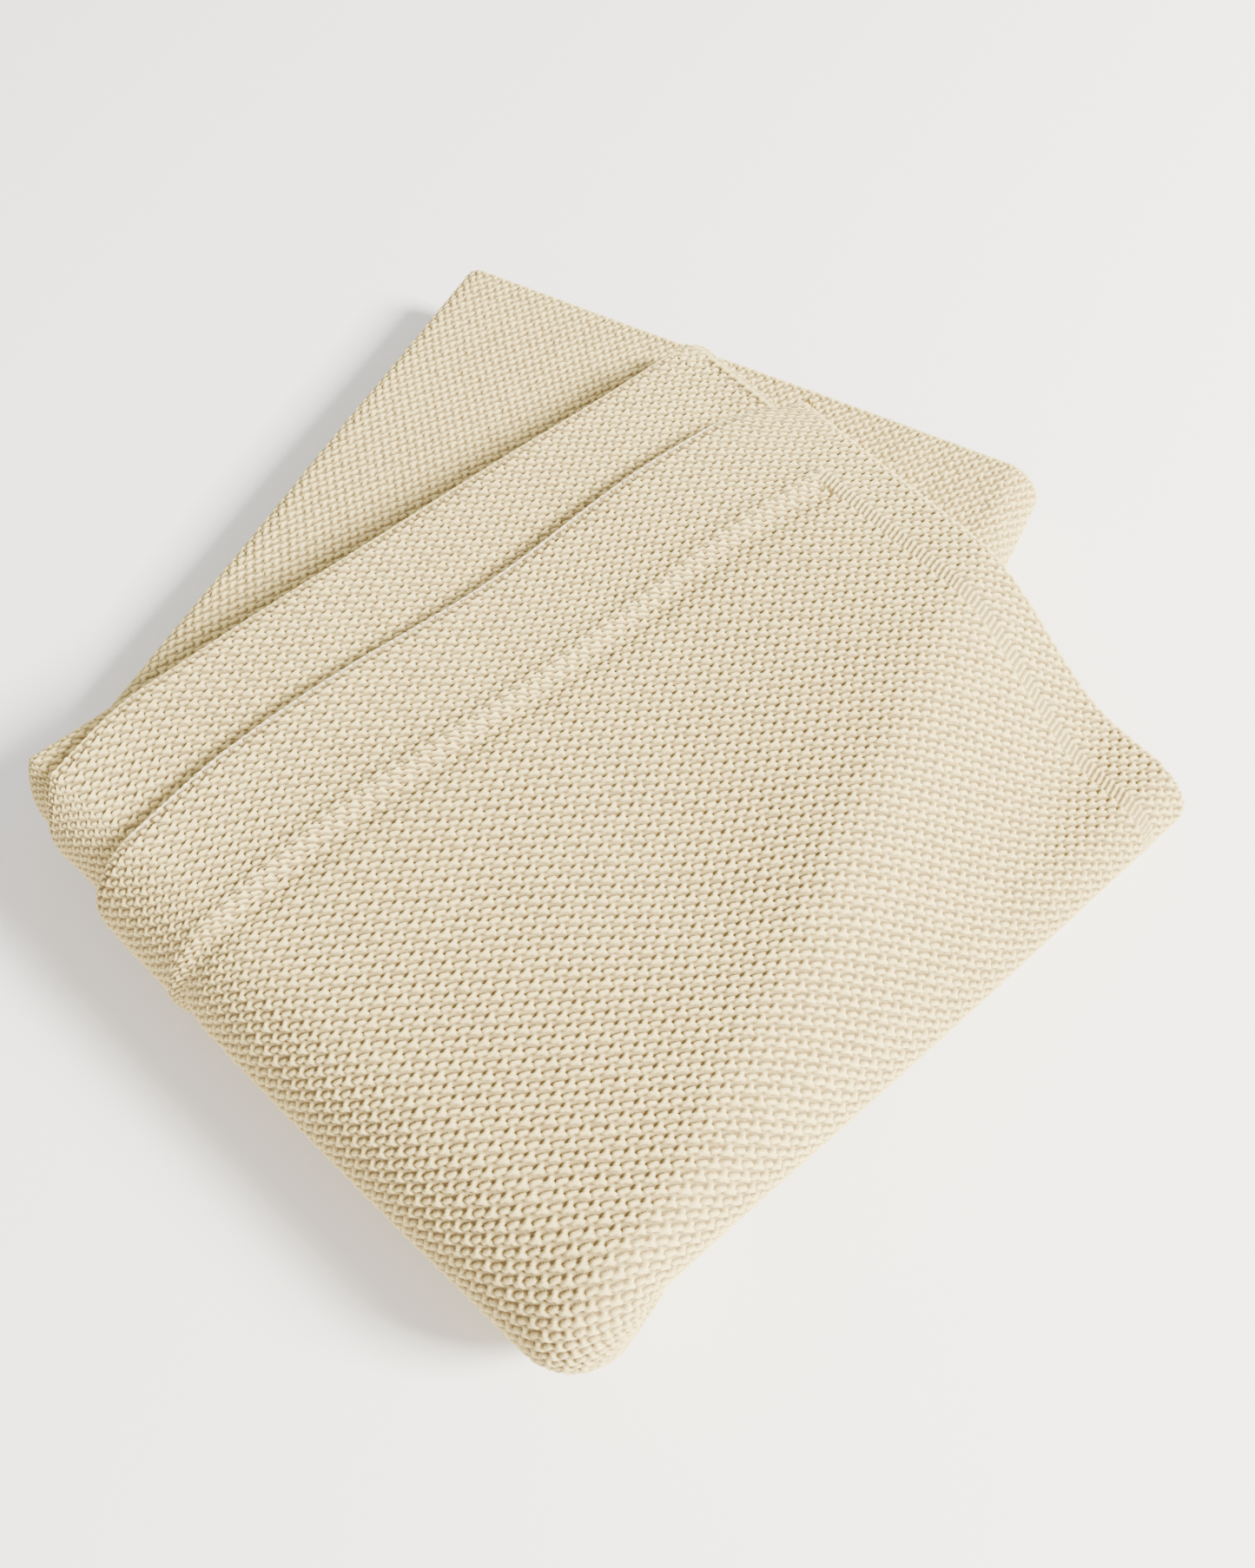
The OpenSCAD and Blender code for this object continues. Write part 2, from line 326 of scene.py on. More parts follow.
def moss_tile():
    """Height of two by two stitches.

    A heart-shaped stitch and a bean-shaped one stand out, and hollows lie between them."""
    wide, high = 2 * CELL_X * 1000, 2 * CELL_Y * 1000
    steps = (np.arange(TILE) + 0.5) / TILE
    u, v = np.meshgrid(steps * wide, steps * high, indexing="ij")
    heart, bean = (0.25 * wide, 0.25 * high), (0.75 * wide, 0.75 * high)
    # each bar: its stitch, where it starts and ends from that stitch's middle, radius, lift at each end
    bars = [
        # the heart: two lobes and a tail
        (heart, (0.36, 0.17), (-0.24, 1.38), 0.98, 0.22, 0.02),
        (heart, (0.36, 0.17), (1.62, -0.22), 0.90, 0.26, 0.06),
        (heart, (0.57, 0.28), (-1.10, -0.52), 0.96, 0.26, 0.0),
        # the bean
        (bean, (-0.95, 0.52), (0.95, -0.42), 0.96, -0.06, 0.04),
        # the yarn that runs on below, from one row to the next
        (heart, (-2.83, 0.17), (-1.69, -1.63), 0.60, -0.56, -0.50),
        (heart, (-1.69, -1.63), (0.20, -2.71), 0.60, -0.50, -0.60),
        (heart, (0.20, -2.71), (2.02, -3.85), 0.52, -0.60, -0.58),
        (heart, (2.02, -3.85), (3.29, -5.08), 0.52, -0.58, -0.56),
        (heart, (2.41, -0.58), (2.50, -1.60), 0.58, -0.25, -0.30),
    ]
    h = np.full((TILE, TILE), GROUND)
    for (mx, my), a, b, *rest in bars:
        for i in (-1, 0, 1):
            for j in (-1, 0, 1):
                x, y = mx + i * wide, my + j * high
                h = np.maximum(h, strand(u, v, (x + a[0], y + a[1]), (x + b[0], y + b[1]), *rest))
    # soften, as the yarn is woolly
    for _ in range(SOFTENING):
        h = (h + np.roll(h, 1, 0) + np.roll(h, -1, 0) + np.roll(h, 1, 1) + np.roll(h, -1, 1)) / 5
    return (h - h.mean()) / 1000 * RELIEF


MOSS = moss_tile()
MOSS_LOW, MOSS_HIGH = float(MOSS.min()), float(MOSS.max())
rng = np.random.default_rng(312)
STITCH_SIZE = rng.uniform(0.82, 1.15, (UNEVEN, UNEVEN))
STITCH_TONE = rng.uniform(-0.07, 0.07, (UNEVEN, UNEVEN))


def moss(u, v):
    """Relief at lattice coordinates u and v, counted in stitches."""
    fu, fv = (u / 2 % 1) * TILE - 0.5, (v / 2 % 1) * TILE - 0.5
    i, j = np.floor(fu).astype(int), np.floor(fv).astype(int)
    a, b = fu - i, fv - j
    return (
        MOSS[i % TILE, j % TILE] * (1 - a) * (1 - b)
        + MOSS[(i + 1) % TILE, j % TILE] * a * (1 - b)
        + MOSS[i % TILE, (j + 1) % TILE] * (1 - a) * b
        + MOSS[(i + 1) % TILE, (j + 1) % TILE] * a * b
    )


def shade_by_height(h):
    """Painted shade by height: 0 in the deepest hollow of the moss stitch and 1 on its highest point, so that
    the hollows are coloured darker.
    """
    return (h - MOSS_LOW) / (MOSS_HIGH - MOSS_LOW)


def wander(s, q, size):
    """A slow irregular wave, from -1 to 1, for uneven rows and a soft surface."""
    w = np.zeros_like(s)
    for kx, ky, phase in ((31, 17, 0.3), (-19, 43, 1.9), (57, -29, 4.1), (11, 71, 2.6), (83, 37, 5.2)):
        w += np.sin((kx * s + ky * q) * size + phase)
    return w / 5


# rows and columns drift slowly, and a little more from stitch to stitch
DRIFT_X, DRIFT_Y = 0.0007, 0.0006
JITTER_X, JITTER_Y = 0.00035, 0.00025
# the side join's ridge and the groove beside it, and the crowding of its stitches
RIDGE, GROOVE = 0.0016, 0.0018
CROWD_X, CROWD_Y = 1.25, 1.35
# the end join's ribs: height, depth between them, and how much the row as a whole stands up
RIB, RIB_PIT, RIB_ROW = 0.0011, 0.0006, 0.0004
# the border, as distances from the free edge, and its heights
CHAIN_W, GROOVE_AT, EYELETS_AT = 0.0024, 0.0031, 0.0042
CHAIN_LINK, CHAIN_BASE, CHAIN_GROOVE, EYELET = 0.0003, 0.0001, 0.0005, 0.0012


def within(w):
    """1 inside a joining row, with soft borders. w runs from 0 to 1 across the row."""
    return ramp(w * 5) * ramp((1 - w) * 5)


def side_join(h, tone, u, v, w, past):
    """The joining row beside the side band: crowded stitches on a low ridge, with a groove beside it."""
    inside = within(w) * past
    bead = moss(u * CROWD_X + 0.5 * v, v * CROWD_Y + 0.25 * u)
    h = blend(h, bead, inside)
    # the beads take painted shade by height, and the row is coloured a little darker
    tone = blend(tone, shade_by_height(bead) - 0.03, inside)
    return h + past * (RIDGE * hump(w, 0.15, 0.55) - GROOVE * hump(w, 1.15, 0.65)), tone


def end_join(h, tone, v, w, past):
    """The joining row beside the end band: short slanting ribs, like a ladder's rungs, coloured darker between
    them as painted shade.
    """
    inside = within(w) * past
    slanting = 0.5 + 0.5 * np.cos(2 * math.pi * (v - 0.9 * w))
    rib = slanting * (0.55 + 0.45 * np.abs(np.sin(2 * math.pi * w)))
    row = RIB_ROW * np.sin(math.pi * np.clip(w, 0, 1)) + RIB * rib - RIB_PIT
    # the colour follows the ribs' height: painted shade between them
    return blend(h, row, inside), blend(tone, 0.75 * rib + 0.16, inside)


def border(h, tone, along, off):
    """The border at a free edge, off away from it: a chain, then a groove, then sparse eyelets. The chain is
    coloured paler as a painted highlight, brightest on its links, and the groove and eyelet holes darker as
    painted shade.
    """
    chain = ramp((CHAIN_W - off) / 0.0008)
    link = 0.5 + 0.5 * np.cos(2 * math.pi * (along / CELL_X + 250 * np.abs(off)))
    h = blend(h, CHAIN_LINK * link + CHAIN_BASE, chain)
    # painted highlight: the chain coloured paler, brightest on each link's crest
    tone = blend(tone, 0.85 + 0.2 * link, chain)
    groove = hump(off, GROOVE_AT, 0.0006)
    # painted shade in the groove
    h, tone = h - CHAIN_GROOVE * groove, tone - 0.25 * groove
    pair = along / (2 * CELL_X) + 0.1 * wander(along, 0 * along, 9.0)
    eyelet = hump(off, EYELETS_AT, 0.0008) * ramp(4 * (0.5 + 0.5 * np.cos(2 * math.pi * pair)) - 2.7)
    # painted shade in the eyelet holes
    return h - EYELET * eyelet, tone * (1 - eyelet) - 0.1 * eyelet


def knit(s, q, end_band, side_band):
    """Relief, tone with painted shade and stitch coordinates of the cloth, at s from its end and q from its
    side.

    end_band and side_band are the widths of its bands, 0 where it has none."""
    ws = s + DRIFT_X * wander(s, q, 1.0) + JITTER_X * wander(s, q, 11.0)
    wq = q + DRIFT_Y * wander(q + 0.3, s, 1.0) + JITTER_Y * wander(q, s, 13.0)
    u, v = ws / CELL_X, wq / CELL_Y
    h = moss(u, v)
    cell = (np.floor(u).astype(int) % UNEVEN, np.floor(v).astype(int) % UNEVEN)
    h = h * np.where(h > 0, STITCH_SIZE[cell], 1)
    # painted shade by height, darker in the hollows, plus a random tone per stitch
    tone = shade_by_height(h) + STITCH_TONE[cell]
    if side_band:
        h, tone = side_join(h, tone, u, v, (wq - side_band) / JOIN, ramp((s - end_band) / 0.004))
    if end_band:
        h, tone = end_join(h, tone, v, (ws - end_band) / JOIN, ramp((q - side_band) / 0.003))
    if side_band:
        h, tone = border(h, tone, s, q)
    if end_band:
        h, tone = border(h, tone, q, s)
    return h, tone, u, v


# ---- meshes ----


def grid_mesh(name, points, layers):
    """A mesh from a grid of points, with one float attribute per layer."""
    n, m = points.shape[:2]
    k = np.arange(n * m).reshape(n, m)
    quads = np.stack([k[:-1, :-1], k[1:, :-1], k[1:, 1:], k[:-1, 1:]], -1).reshape(-1, 4)
    mesh = bpy.data.meshes.new(name)
    mesh.vertices.add(n * m)
    mesh.vertices.foreach_set("co", points.reshape(-1, 3).astype(np.float32).ravel())
    mesh.loops.add(quads.size)
    mesh.loops.foreach_set("vertex_index", quads.ravel().astype(np.int32))
    mesh.polygons.add(len(quads))
    mesh.polygons.foreach_set("loop_start", np.arange(0, quads.size, 4, dtype=np.int32))
    mesh.polygons.foreach_set("use_smooth", np.ones(len(quads), bool))
    mesh.update(calc_edges=True)
    for key, values in layers.items():
        attribute = mesh.attributes.new(key, "FLOAT", "POINT")
        attribute.data.foreach_set("value", values.ravel().astype(np.float32))
    obj = bpy.data.objects.new("cloth_" + name, mesh)
    bpy.context.scene.collection.objects.link(obj)
    return obj


HANG_R = 0.0035
HANG_FLOOR = 0.0006
# near the front fold the open end no longer hangs
HANG_BEFORE, HANG_RUN = 0.01, 0.03
UNEVENNESS = 0.0026
# a shallow hollow pressed into the top
HOLLOW_X, HOLLOW_Y, HOLLOW_R, HOLLOW_DEPTH = -0.040, -0.125, 0.040, 0.0038
# a free edge moves from FREE_FROM on across the strip. Its slant is near the last fold.
FREE_FROM, FREE_RUN = 0.15, 0.08
SLANT_UP_TO, SLANT_RUN = 0.05, 0.08
WAVE_CREST, WAVE_PITCH = 0.24, 0.185
# the side join, between these places, moves out a little
JOIN_FROM, JOIN_FROM_RUN, JOIN_TO, JOIN_TO_RUN, JOIN_SHARE = 0.13, 0.07, 0.20, 0.045, 0.7


def hang(points, over):
    """Bends what lies beyond the open end down over it. over is the distance beyond the end."""
    a = np.clip(over / HANG_R, 0, HALF)
    down = HANG_R * (1 - np.cos(a)) + np.maximum(over - HANG_R * HALF, 0)
    points[..., 0] += np.where(over > 0, HANG_R * np.sin(a), 0)
    points[..., 2] -= np.where(over > 0, down, 0)
    points[..., 2] = np.maximum(points[..., 2], HANG_FLOOR)
    return points


def soft(points):
    """Slow unevenness of the stack, the same for everything that lies at one place."""
    lift = points[..., 2] / (2 * STRIP)
    x, y = points[..., 0], points[..., 1]
    points[..., 2] += lift * UNEVENNESS * wander(x + 0.4, y, 0.55)
    away = ((x - HOLLOW_X) ** 2 + (y - HOLLOW_Y) ** 2) / HOLLOW_R**2
    points[..., 2] -= lift * HOLLOW_DEPTH * np.exp(-away)
    return points


def free_edge(line, x, y, on_leaf):
    """y with the free edge a little wavy, and further in towards the last fold."""
    free = ramp((y - FREE_FROM) / FREE_RUN) * on_leaf
    beside = ramp((y - JOIN_FROM) / JOIN_FROM_RUN) * (1 - ramp((y - JOIN_TO) / JOIN_TO_RUN)) * on_leaf
    sway = line.wave * np.cos(2 * math.pi * (x - WAVE_CREST) / WAVE_PITCH)
    inwards = line.slant * ramp((SLANT_UP_TO + fold_x(y) - x) / SLANT_RUN)
    return y + (sway - inwards) * free + JOIN_SHARE * line.wave * beside


def round_corner(line, x, y, on_leaf):
    """x and y with the leaf's free corner rounded."""
    wide, end, radius = line.corner
    a = np.clip(radius - wide + y, 0, radius)
    b = np.clip(radius - end + x, 0, radius) * on_leaf
    y = y - a * (1 - np.sqrt(1 - b**2 / (2 * radius**2)))
    x = x - b * (1 - np.sqrt(1 - a**2 / (2 * radius**2)))
    return x, y


def surface(line, x, q, hanging):
    """Points of the stack for strip distance x and distance q along a line across the strip."""
    y, z = line.at(q)
    on_leaf = q <= line.leaf
    if line.slant:
        y = free_edge(line, x, y, on_leaf)
    if line.corner:
        x, y = round_corner(line, x, y, on_leaf)
    points = soft(place(np.minimum(x, UPPER_LEN) if hanging else x, y, z))
    if hanging:
        points = hang(points, (x - UPPER_LEN) * (1 - ramp((q - Q_FRONT + HANG_BEFORE) / HANG_RUN)))
    return points


STEP = 0.0003


def cut_size(p, width):
    """Width and length of the flat cut that these points lie in, before the stitches' relief."""
    a, b = p[1:, :-1] - p[:-1, :-1], p[:-1, 1:] - p[:-1, :-1]
    return width, float(np.linalg.norm(np.cross(a, b), axis=-1).sum()) / width


def frame_at(line, x, q, hanging):
    """Points, unit directions towards the open end and outwards, and the room for relief.

    The room is 1 where the cloth keeps its size and less where it is drawn together."""
    p = surface(line, x, q, hanging)
    dx = surface(line, x + STEP, q, hanging) - surface(line, x - STEP, q, hanging)
    dq = surface(line, x, q + STEP, hanging) - surface(line, x, q - STEP, hanging)
    n = np.cross(dq, dx)
    size = np.linalg.norm(n, axis=-1, keepdims=True)
    n /= np.maximum(size, 1e-12)
    dx /= np.maximum(np.linalg.norm(dx, axis=-1, keepdims=True), 1e-12)
    return p, dx, n, np.clip(size[..., 0] / (4 * STEP**2), 0.02, 1)


def grid_of(q0, q1, x0, x1, fine, line):
    """Strip distances x and q of a grid, fine points to a stitch. x0 and x1 are numbers or functions of y."""
    rows = max(2, round((q1 - q0) / CELL_Y * fine))
    q = np.linspace(q0, q1, rows + 1)[None, :]
    y = line.at(q)[0]
    a = x0(y) if callable(x0) else x0 + 0 * y
    b = x1(y) if callable(x1) else x1 + 0 * y
    columns = max(2, round(float(np.mean(b - a)) / CELL_X * fine))
    t = np.linspace(0, 1, columns + 1)[:, None]
    return a + (b - a) * t, q + 0 * t


def skin(name, line, q0, q1, x0, x1, fine, end, end_band=0.0, side_band=0.0, q_zero=0.0, hanging=False):
    """A knitted surface over part of the strip: q0 to q1 along a line across it and x0 to x1 along it.

    Its stitches are counted from the strip's distance end and from q_zero on the line."""
    x, q = grid_of(q0, q1, x0, x1, fine, line)
    p, _, n, room = frame_at(line, x, q, hanging)
    h, tone, u, v = knit(end - x, q - q_zero, end_band, side_band)
    h *= room
    obj = grid_mesh(name, p + n * h[..., None], {"tone": tone, "knit_u": u, "knit_v": v})
    return obj, cut_size(p, q1 - q0)


def lip(name, line, q0, q1, x_end, radius, tuck, fine, end, way, q_zero=0.0, hanging=False):
    """The rounded end of a layer or of a closed fold, from x_end round through a half turn and back inside.

    way is 1 at the open end of the strip and -1 at its folded end."""
    rows = max(2, round((q1 - q0) / CELL_Y * fine))
    size = math.pi * radius + tuck
    columns = max(4, round(size / CELL_X * fine))
    g, q = np.meshgrid(np.linspace(0, size, columns + 1), np.linspace(q0, q1, rows + 1), indexing="ij")
    x = x_end + 0 * q
    p, out, n, room = frame_at(line, x, q, hanging)
    out = out * way
    a = np.minimum(g / radius, math.pi)[..., None]
    back = np.maximum(g[..., None] - math.pi * radius, 0)
    p = p + out * (radius * np.sin(a) - back) - n * radius * (1 - np.cos(a))
    n = n * np.cos(a) + out * np.sin(a)
    cut = cut_size(p, q1 - q0)
    h, tone, u, v = knit((end - x) - g * way, q - q_zero, 0, 0)
    h *= room
    if way < 0:
        p, h, tone, u, v, n = (k[::-1] for k in (p, h, tone, u, v, n))
    obj = grid_mesh(name, p + n * h[..., None], {"tone": tone, "knit_u": u, "knit_v": v})
    return obj, cut


# ---- materials ----

# tones at which the painted shade colour of the hollows and the colour of the stitches are reached
PIT_TONE, TOP_TONE = 0.08, 0.80


def knit_material(name, top, pit_shade, warm):
    """Woolly cotton: pale on the stitches and coloured darker in the hollows as painted shade, with plied yarn
    and fine fibres as bump.
    """
    material = bpy.data.materials.new(name)
    material.use_nodes = True
    tree = material.node_tree
    tree.nodes.clear()

    def node(kind, inputs=None, **values):
        made = tree.nodes.new(kind)
        for key, value in values.items():
            setattr(made, key, value)
        for key, value in (inputs or {}).items():
            made.inputs[key].default_value = value
        return made

    def link(a, b):
        tree.links.new(a, b)

    out = node("ShaderNodeOutputMaterial")
    shader = node(
        "ShaderNodeBsdfPrincipled",
        {
            "Roughness": 0.9,
            "Sheen Weight": 0.08,
            "Sheen Roughness": 0.5,
            "Sheen Tint": (1.0, 0.95, 0.85, 1),
            "Specular IOR Level": 0.12,
        },
    )
    link(shader.outputs[0], out.inputs[0])

    # the colour ramp paints shade into the hollows, from the pit shade colour up to the stitches' colour
    tone = node("ShaderNodeAttribute", attribute_name="tone")
    colours = node("ShaderNodeValToRGB")
    low, high = colours.color_ramp.elements
    low.position, low.color = PIT_TONE, (*pit_shade, 1)
    high.position, high.color = TOP_TONE, (*top, 1)
    link(tone.outputs["Fac"], colours.inputs["Fac"])

    # slow patches of a warmer, darker shade
    spot = node("ShaderNodeTexCoord")
    patches = node("ShaderNodeTexNoise", {"Scale": 11.0, "Detail": 2.0})
    link(spot.outputs["Object"], patches.inputs["Vector"])
    mix = node("ShaderNodeMix", data_type="RGBA", blend_type="MULTIPLY")
    mix.inputs["B"].default_value = (*warm, 1)
    link(patches.outputs["Fac"], mix.inputs["Factor"])
    link(colours.outputs["Color"], mix.inputs["A"])
    link(mix.outputs["Result"], shader.inputs["Base Color"])

    # the plies of the yarn, in stitch coordinates
    u = node("ShaderNodeAttribute", attribute_name="knit_u")
    v = node("ShaderNodeAttribute", attribute_name="knit_v")
    joined = node("ShaderNodeCombineXYZ")
    link(u.outputs["Fac"], joined.inputs[0])
    link(v.outputs["Fac"], joined.inputs[1])
    plies = node(
        "ShaderNodeTexWave",
        {"Scale": 1.1, "Distortion": 3.0, "Detail": 1.0},
        wave_type="BANDS",
        bands_direction="DIAGONAL",
    )
    link(joined.outputs[0], plies.inputs["Vector"])
    ply_bump = node("ShaderNodeBump", {"Strength": 0.55, "Distance": 0.0003})
    link(plies.outputs["Fac"], ply_bump.inputs["Height"])

    fibres = node("ShaderNodeTexNoise", {"Scale": 1500.0, "Detail": 3.0})
    link(spot.outputs["Object"], fibres.inputs["Vector"])
    fibre_bump = node("ShaderNodeBump", {"Strength": 0.7, "Distance": 0.0002})
    link(fibres.outputs["Fac"], fibre_bump.inputs["Height"])
    link(ply_bump.outputs[0], fibre_bump.inputs["Normal"])
    link(fibre_bump.outputs[0], shader.inputs["Normal"])
    return material


# the painted shade colour of the hollows
PIT_SHADE = (0.25, 0.18, 0.08)
WARM = (0.84, 0.81, 0.80)
# the record's slots
FIELD, BANDS, JOINS, EDGES = "field_knit", "band_knit", "join_row", "edge_chain"
LOOKS = {
    FIELD: knit_material(FIELD, (0.925, 0.765, 0.322), PIT_SHADE, WARM),
    BANDS: knit_material(BANDS, (0.93, 0.77, 0.330), PIT_SHADE, WARM),
    # the join rows get a darker painted shade in their hollows
    JOINS: knit_material(JOINS, (0.925, 0.765, 0.332), (0.21, 0.15, 0.07), WARM),
    # the edge strip is coloured paler, a painted highlight on the lit chain edge, with lighter painted shade
    # in its hollows
    EDGES: knit_material(EDGES, (0.94, 0.82, 0.48), (0.30, 0.22, 0.12), (0.93, 0.91, 0.88)),
}


# ---- pieces ----

turn = joints["top_corner_turn"]
OUTWARDS = np.array([-turn["axis"][1], turn["axis"][0]])
OUTWARDS *= math.copysign(1, OUTWARDS[0])
# pieces with a narrower flat cut than this are listed apart as trims
TRIM = 0.012
sheets, trims = [], []

# what the pieces ride on
TOP = ("upper_packet", "top_corner")
SEC = ("upper_packet", "second_corner")
TURNED = ("lower_packet", "upper_packet")
UPPER = "upper_packet"
LOWER = "lower_packet"


def settle(made, nodes, slot, bodies):
    """Gives a piece its look and hides the CAD parts that it stands for. A piece on one body is hung on it; a
    piece on several only gets its placement baked in.
    """
    obj, flat = made
    obj.data.materials.append(LOOKS[slot])
    if nodes:
        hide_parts(*nodes)
    if isinstance(bodies, str):
        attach(obj, bodies)
    elif bodies is TURNED:
        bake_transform(obj)
    else:
        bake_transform(obj)
    if min(flat) < TRIM:
        trims.append(obj)
    else:
        sheets.append((obj, flat))


# top leaf: field in three parts, then joins, bands, border and lining
RIM = 0.003
Q_RIM = Q_EDGE + RIM
Q_BAND = Q_EDGE + BAND
Q_FIELD = Q_BAND + JOIN
X_FIELD = END_TOP - END_BAND - JOIN
X_BAND = X_FIELD + JOIN
X_RIM = END_TOP - RIM
# where the field, the side band and the second leaf are parted
X_CUT_A, X_CUT_B, X_SIDE = 0.10, 0.20, 0.15
face = dict(end=END_TOP, end_band=END_BAND, side_band=BAND, q_zero=Q_EDGE)
hung = dict(hanging=True, **face)

for made, nodes, slot in (
    (skin("top_field_a", OUTER, Q_FIELD, Q_FRONT, fold_x, X_CUT_A, 6, **face), ["top_field"], FIELD),
    (skin("top_field_b", OUTER, Q_FIELD, Q_FRONT, X_CUT_A, X_CUT_B, 6, **face), ["corner_field"], FIELD),
    (skin("top_field_c", OUTER, Q_FIELD, Q_FRONT, X_CUT_B, X_FIELD, 6, **face), [], FIELD),
    (
        skin("top_end_join", OUTER, Q_FIELD, Q_FRONT, X_FIELD, X_BAND, 6, **face),
        ["top_end_join", "corner_end_join"],
        JOINS,
    ),
    (
        skin("top_end_band", OUTER, Q_BAND, Q_FRONT, X_BAND, X_RIM, 6, **hung),
        ["top_end_band", "corner_end_band"],
        BANDS,
    ),
    (
        skin("top_side_join", OUTER, Q_BAND, Q_FIELD, fold_x, X_BAND, 6, **face),
        ["top_side_join", "corner_side_join"],
        JOINS,
    ),
    (skin("top_side_band_a", OUTER, Q_RIM, Q_BAND, fold_x, X_SIDE, 6, **face), ["top_side_band"], BANDS),
    (skin("top_side_band_b", OUTER, Q_RIM, Q_BAND, X_SIDE, X_RIM, 6, **hung), ["corner_side_band"], BANDS),
    (
        skin("top_side_edge", OUTER, 0, Q_RIM, fold_x, X_RIM, 6, **hung),
        ["top_side_edge", "corner_side_edge"],
        EDGES,
    ),
    (
        skin("top_end_edge", OUTER, 0, Q_FRONT, X_RIM, END_TOP, 6, **hung),
        ["top_end_edge", "corner_end_edge"],
        EDGES,
    ),
    (lip("top_end_tuck", OUTER, 0, Q_FRONT, END_TOP, EDGE_R, TUCK, 4, END_TOP, 1, Q_EDGE, True), [], BANDS),
):
    settle(made, nodes, slot, TOP)

# where the linings' pieces end, before and after the free edge
Q_LINING_IN = Q_LINING - 0.015
Q_LINING_OUT = Q_LINING + 0.02
Q_SECOND_OUT = TUCK + LIP + 0.02
X_LINING = UPPER_LEN - 0.001
under = skin("top_lining", TOP_LINING, 0, Q_LINING_OUT, fold_x, X_LINING, 3, UPPER_LEN, q_zero=Q_LINING)
settle(under, ["top_lining", "corner_lining"], BANDS, TOP)

# front fold, fourth leaf, back fold and third leaf of the upper packet, in one run round the stack
Q_ROUND = Q_THIRD + 0.03
INNER_TUCK = 0.006
INNER_BACK = 0.0015
for name, q0, q1, fine, nodes in (
    ("upper_front_fold", Q_FRONT, Q_UNDER, 5, ["upper_front_fold", "upper_core_fold"]),
    ("upper_fourth_leaf", Q_UNDER, Q_BACK, 2.8, ["upper_leaf_1"]),
    ("upper_back_fold", Q_BACK, Q_ROUND, 5, ["upper_back_fold", "upper_leaf_2"]),
    ("upper_third_leaf", Q_ROUND, OUTER.length, 2, []),
):
    settle(skin(name, OUTER, q0, q1, fold_x, UPPER_LEN, fine, **face), nodes, FIELD, UPPER)
for name, line, q0, x_end, q_zero in (
    ("upper_end_tuck", OUTER, Q_FRONT, UPPER_LEN, Q_EDGE),
    ("upper_end_inner", INNER, 0, UPPER_LEN - INNER_BACK, 0),
):
    tucked = lip(name, line, q0, line.length, x_end, EDGE_R, INNER_TUCK, 4, END_TOP, 1, q_zero)
    settle(tucked, [], BANDS, UPPER)

# second leaf
Q_COVER = TUCK + LIP + 0.075
second = dict(end=END_SECOND, end_band=BAND, side_band=BAND, q_zero=Q_EDGE)
for name, x0, x1, nodes in (
    ("second_leaf_a", fold_x, X_SIDE, ["second_leaf", "second_side_edge"]),
    ("second_leaf_b", X_SIDE, END_SECOND, ["second_corner", "second_corner_side_edge"]),
):
    settle(skin(name, SECOND, 0, Q_COVER, x0, x1, 6, **second), nodes, BANDS, SEC)
covered = skin("second_leaf_c", SECOND, Q_COVER, SECOND.length, X_CUT_A, END_SECOND, 3, **second)
settle(covered, ["second_end_edge", "second_corner_end_edge"], FIELD, SEC)
for name, line, x_end, q_zero in (
    ("second_end_tuck", SECOND, END_SECOND, Q_EDGE),
    ("second_end_inner", SECOND_LINING, END_SECOND - INNER_BACK, 0),
):
    tucked = lip(name, line, 0, line.length, x_end, EDGE_R, TUCK, 4, END_SECOND, 1, q_zero)
    settle(tucked, [], BANDS, SEC)
inner = (SECOND_LINING, 0, Q_SECOND_OUT, fold_x, END_SECOND, 3, END_SECOND)
settle(skin("second_lining", *inner, q_zero=Q_EDGE), [], BANDS, SEC)


def linings(stretch, x0, x1, fine, bodies):
    """The layers just inside the free edges of the top and second leaf, on one stretch of the strip."""
    top = (TOP_LINING, Q_LINING_IN, Q_LINING_OUT, x0, x1, fine, UPPER_LEN)
    settle(skin(stretch + "_lining", *top, q_zero=Q_LINING), [], BANDS, bodies)
    below = (SECOND_LINING, 0, Q_SECOND_OUT, x0, x1, fine, END_SECOND)
    settle(skin(stretch + "_second_lining", *below, q_zero=Q_EDGE), [], BANDS, bodies)


# the last fold
for name, q0, q1, fine, nodes in (
    ("turn_top", 0, Q_FRONT, 5, ["turn_fold_outer"]),
    ("turn_front", Q_FRONT, Q_UNDER, 5, ["turn_fold_inner"]),
    ("turn_inside", Q_UNDER, Q_BACK, 1, []),
    ("turn_back", Q_BACK, Q_ROUND, 4, []),
):
    settle(skin(name, OUTER, q0, q1, turn_end, fold_x, fine, **face), nodes, FIELD, TURNED)
settle(skin("turn_second", SECOND, 0, Q_COVER, turn_end, fold_x, 5, **second), [], BANDS, TURNED)
linings("turn", turn_end, fold_x, 4, TURNED)

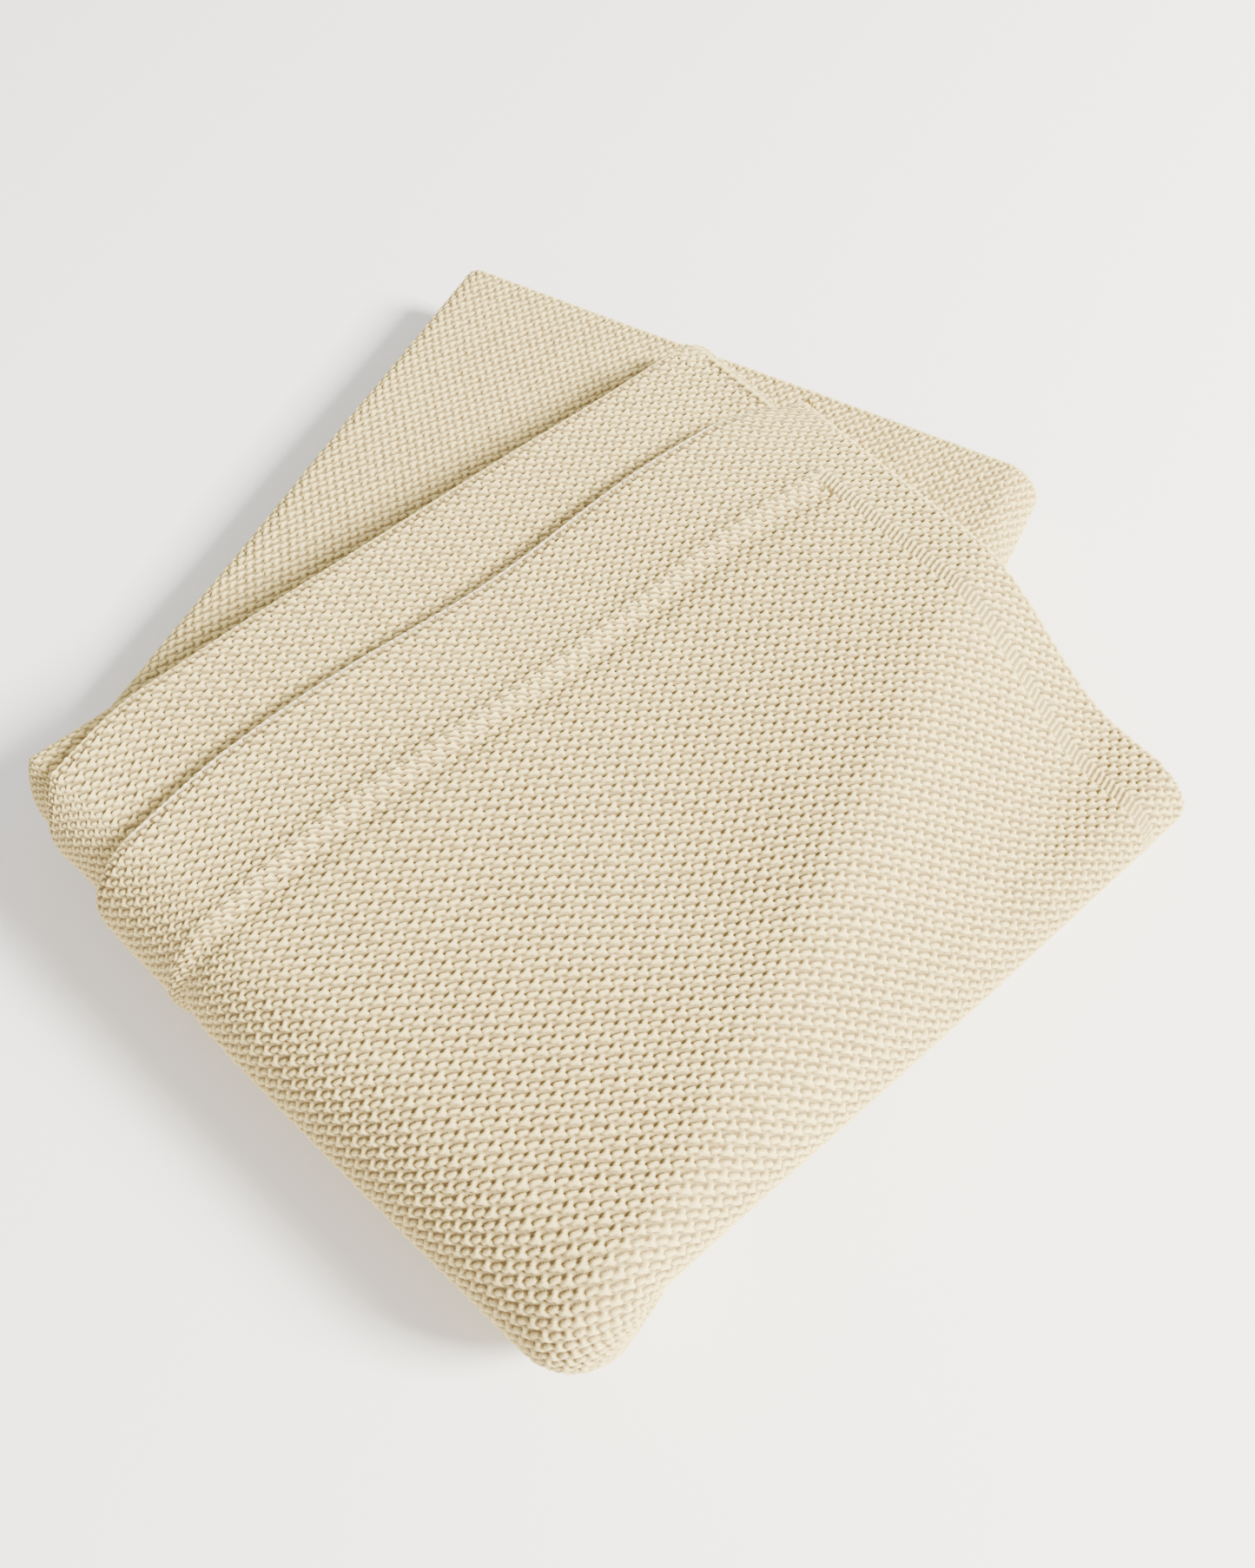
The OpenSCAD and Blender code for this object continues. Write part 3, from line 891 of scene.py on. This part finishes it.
# the lower packet, upside down, so that the strip's fourth leaf lies on top
Q_MIDDLE = (Q_UNDER + Q_BACK) / 2
LOWER_TUCK = 0.008
for name, q0, q1, fine, nodes in (
    ("lower_top_a", Q_UNDER, Q_MIDDLE, 3.7, ["lower_leaf_1"]),
    ("lower_top_b", Q_MIDDLE, Q_BACK, 3.7, ["lower_leaf_2"]),
    ("lower_front_fold", Q_FRONT, Q_UNDER, 4, ["lower_front_fold", "lower_core_fold"]),
    ("lower_back_fold", Q_BACK, Q_ROUND, 4, ["lower_back_fold", "lower_leaf_3"]),
    ("lower_base", 0, Q_FRONT, 1, ["lower_leaf_4"]),
):
    settle(skin(name, OUTER, q0, q1, LOWER_X, turn_end, fine, **face), nodes, FIELD, LOWER)
settle(skin("lower_second", SECOND, 0, Q_COVER, LOWER_X, turn_end, 3, **second), [], BANDS, LOWER)
linings("lower", LOWER_X, turn_end, 3, LOWER)
for name, line, q0, q1, end, nodes in (
    ("lower_end_4", OUTER, Q_FRONT, Q_THIRD, END_TOP, ["lower_end_fold_1", "lower_end_fold_2"]),
    ("lower_end_3", OUTER, Q_THIRD, OUTER.length, END_TOP, ["lower_end_fold_3"]),
    ("lower_end_2", SECOND, Q_EDGE, SECOND.length, END_SECOND, ["lower_end_fold_4"]),
    ("lower_end_1", OUTER, Q_EDGE, Q_FRONT, END_TOP, []),
):
    settle(lip(name, line, q0, q1, LOWER_X, LAYER, LOWER_TUCK, 4, end, -1, Q_EDGE), nodes, FIELD, LOWER)


# ---- floor, light, camera ----


def lay_floor():
    material = bpy.data.materials.new("floor")
    material.use_nodes = True
    shader = material.node_tree.nodes["Principled BSDF"]
    shader.inputs["Base Color"].default_value = (0.97, 0.97, 0.97, 1)
    shader.inputs["Roughness"].default_value = 0.9
    bpy.ops.mesh.primitive_plane_add(size=8)
    floor = bpy.context.object
    floor.name = "floor"
    floor.data.materials.append(material)


def light_world():
    world = bpy.data.worlds.new("world")
    bpy.context.scene.world = world
    world.use_nodes = True
    background = world.node_tree.nodes["Background"]
    background.inputs["Color"].default_value = (1.0, 0.985, 0.96, 1)
    background.inputs["Strength"].default_value = 1.05


def area_light(name, place_at, size, power, colour):
    """A square light that looks at the middle of the blanket."""
    light = bpy.data.lights.new(name, "AREA")
    light.size = size
    light.energy = power
    light.color = colour
    obj = bpy.data.objects.new(name, light)
    obj.location = place_at
    aim = -np.array(place_at) + np.array((0.05, 0.05, 0.0))
    obj.rotation_euler = Vector(aim).to_track_quat("-Z", "Y").to_euler()
    bpy.context.scene.collection.objects.link(obj)


def set_camera(place_at, heading, tilt, roll, lens):
    """A camera that looks straight down, rolled, then tilted up and then turned to its heading, in degrees."""
    camera = bpy.data.cameras.new("camera")
    camera.lens = lens
    camera.sensor_width = 36
    camera.sensor_fit = "HORIZONTAL"
    view = bpy.data.objects.new("camera", camera)
    view.matrix_world = (
        Matrix.Translation(place_at)
        @ Matrix.Rotation(math.radians(heading), 4, "Z")
        @ Matrix.Rotation(math.radians(tilt), 4, "X")
        @ Matrix.Rotation(math.radians(roll), 4, "Z")
    )
    bpy.context.scene.collection.objects.link(view)
    bpy.context.scene.camera = view


lay_floor()
light_world()
area_light("key", place_at=(1.35, -1.95, 1.8), size=0.75, power=470, colour=(1.0, 0.97, 0.87))
area_light("fill", place_at=(-1.1, -0.9, 0.8), size=1.2, power=10, colour=(1.0, 0.76, 0.68))
set_camera(place_at=(-0.1759, -0.2490, 0.4913), heading=-39.51, tilt=27.83, roll=-1.14, lens=36.05)
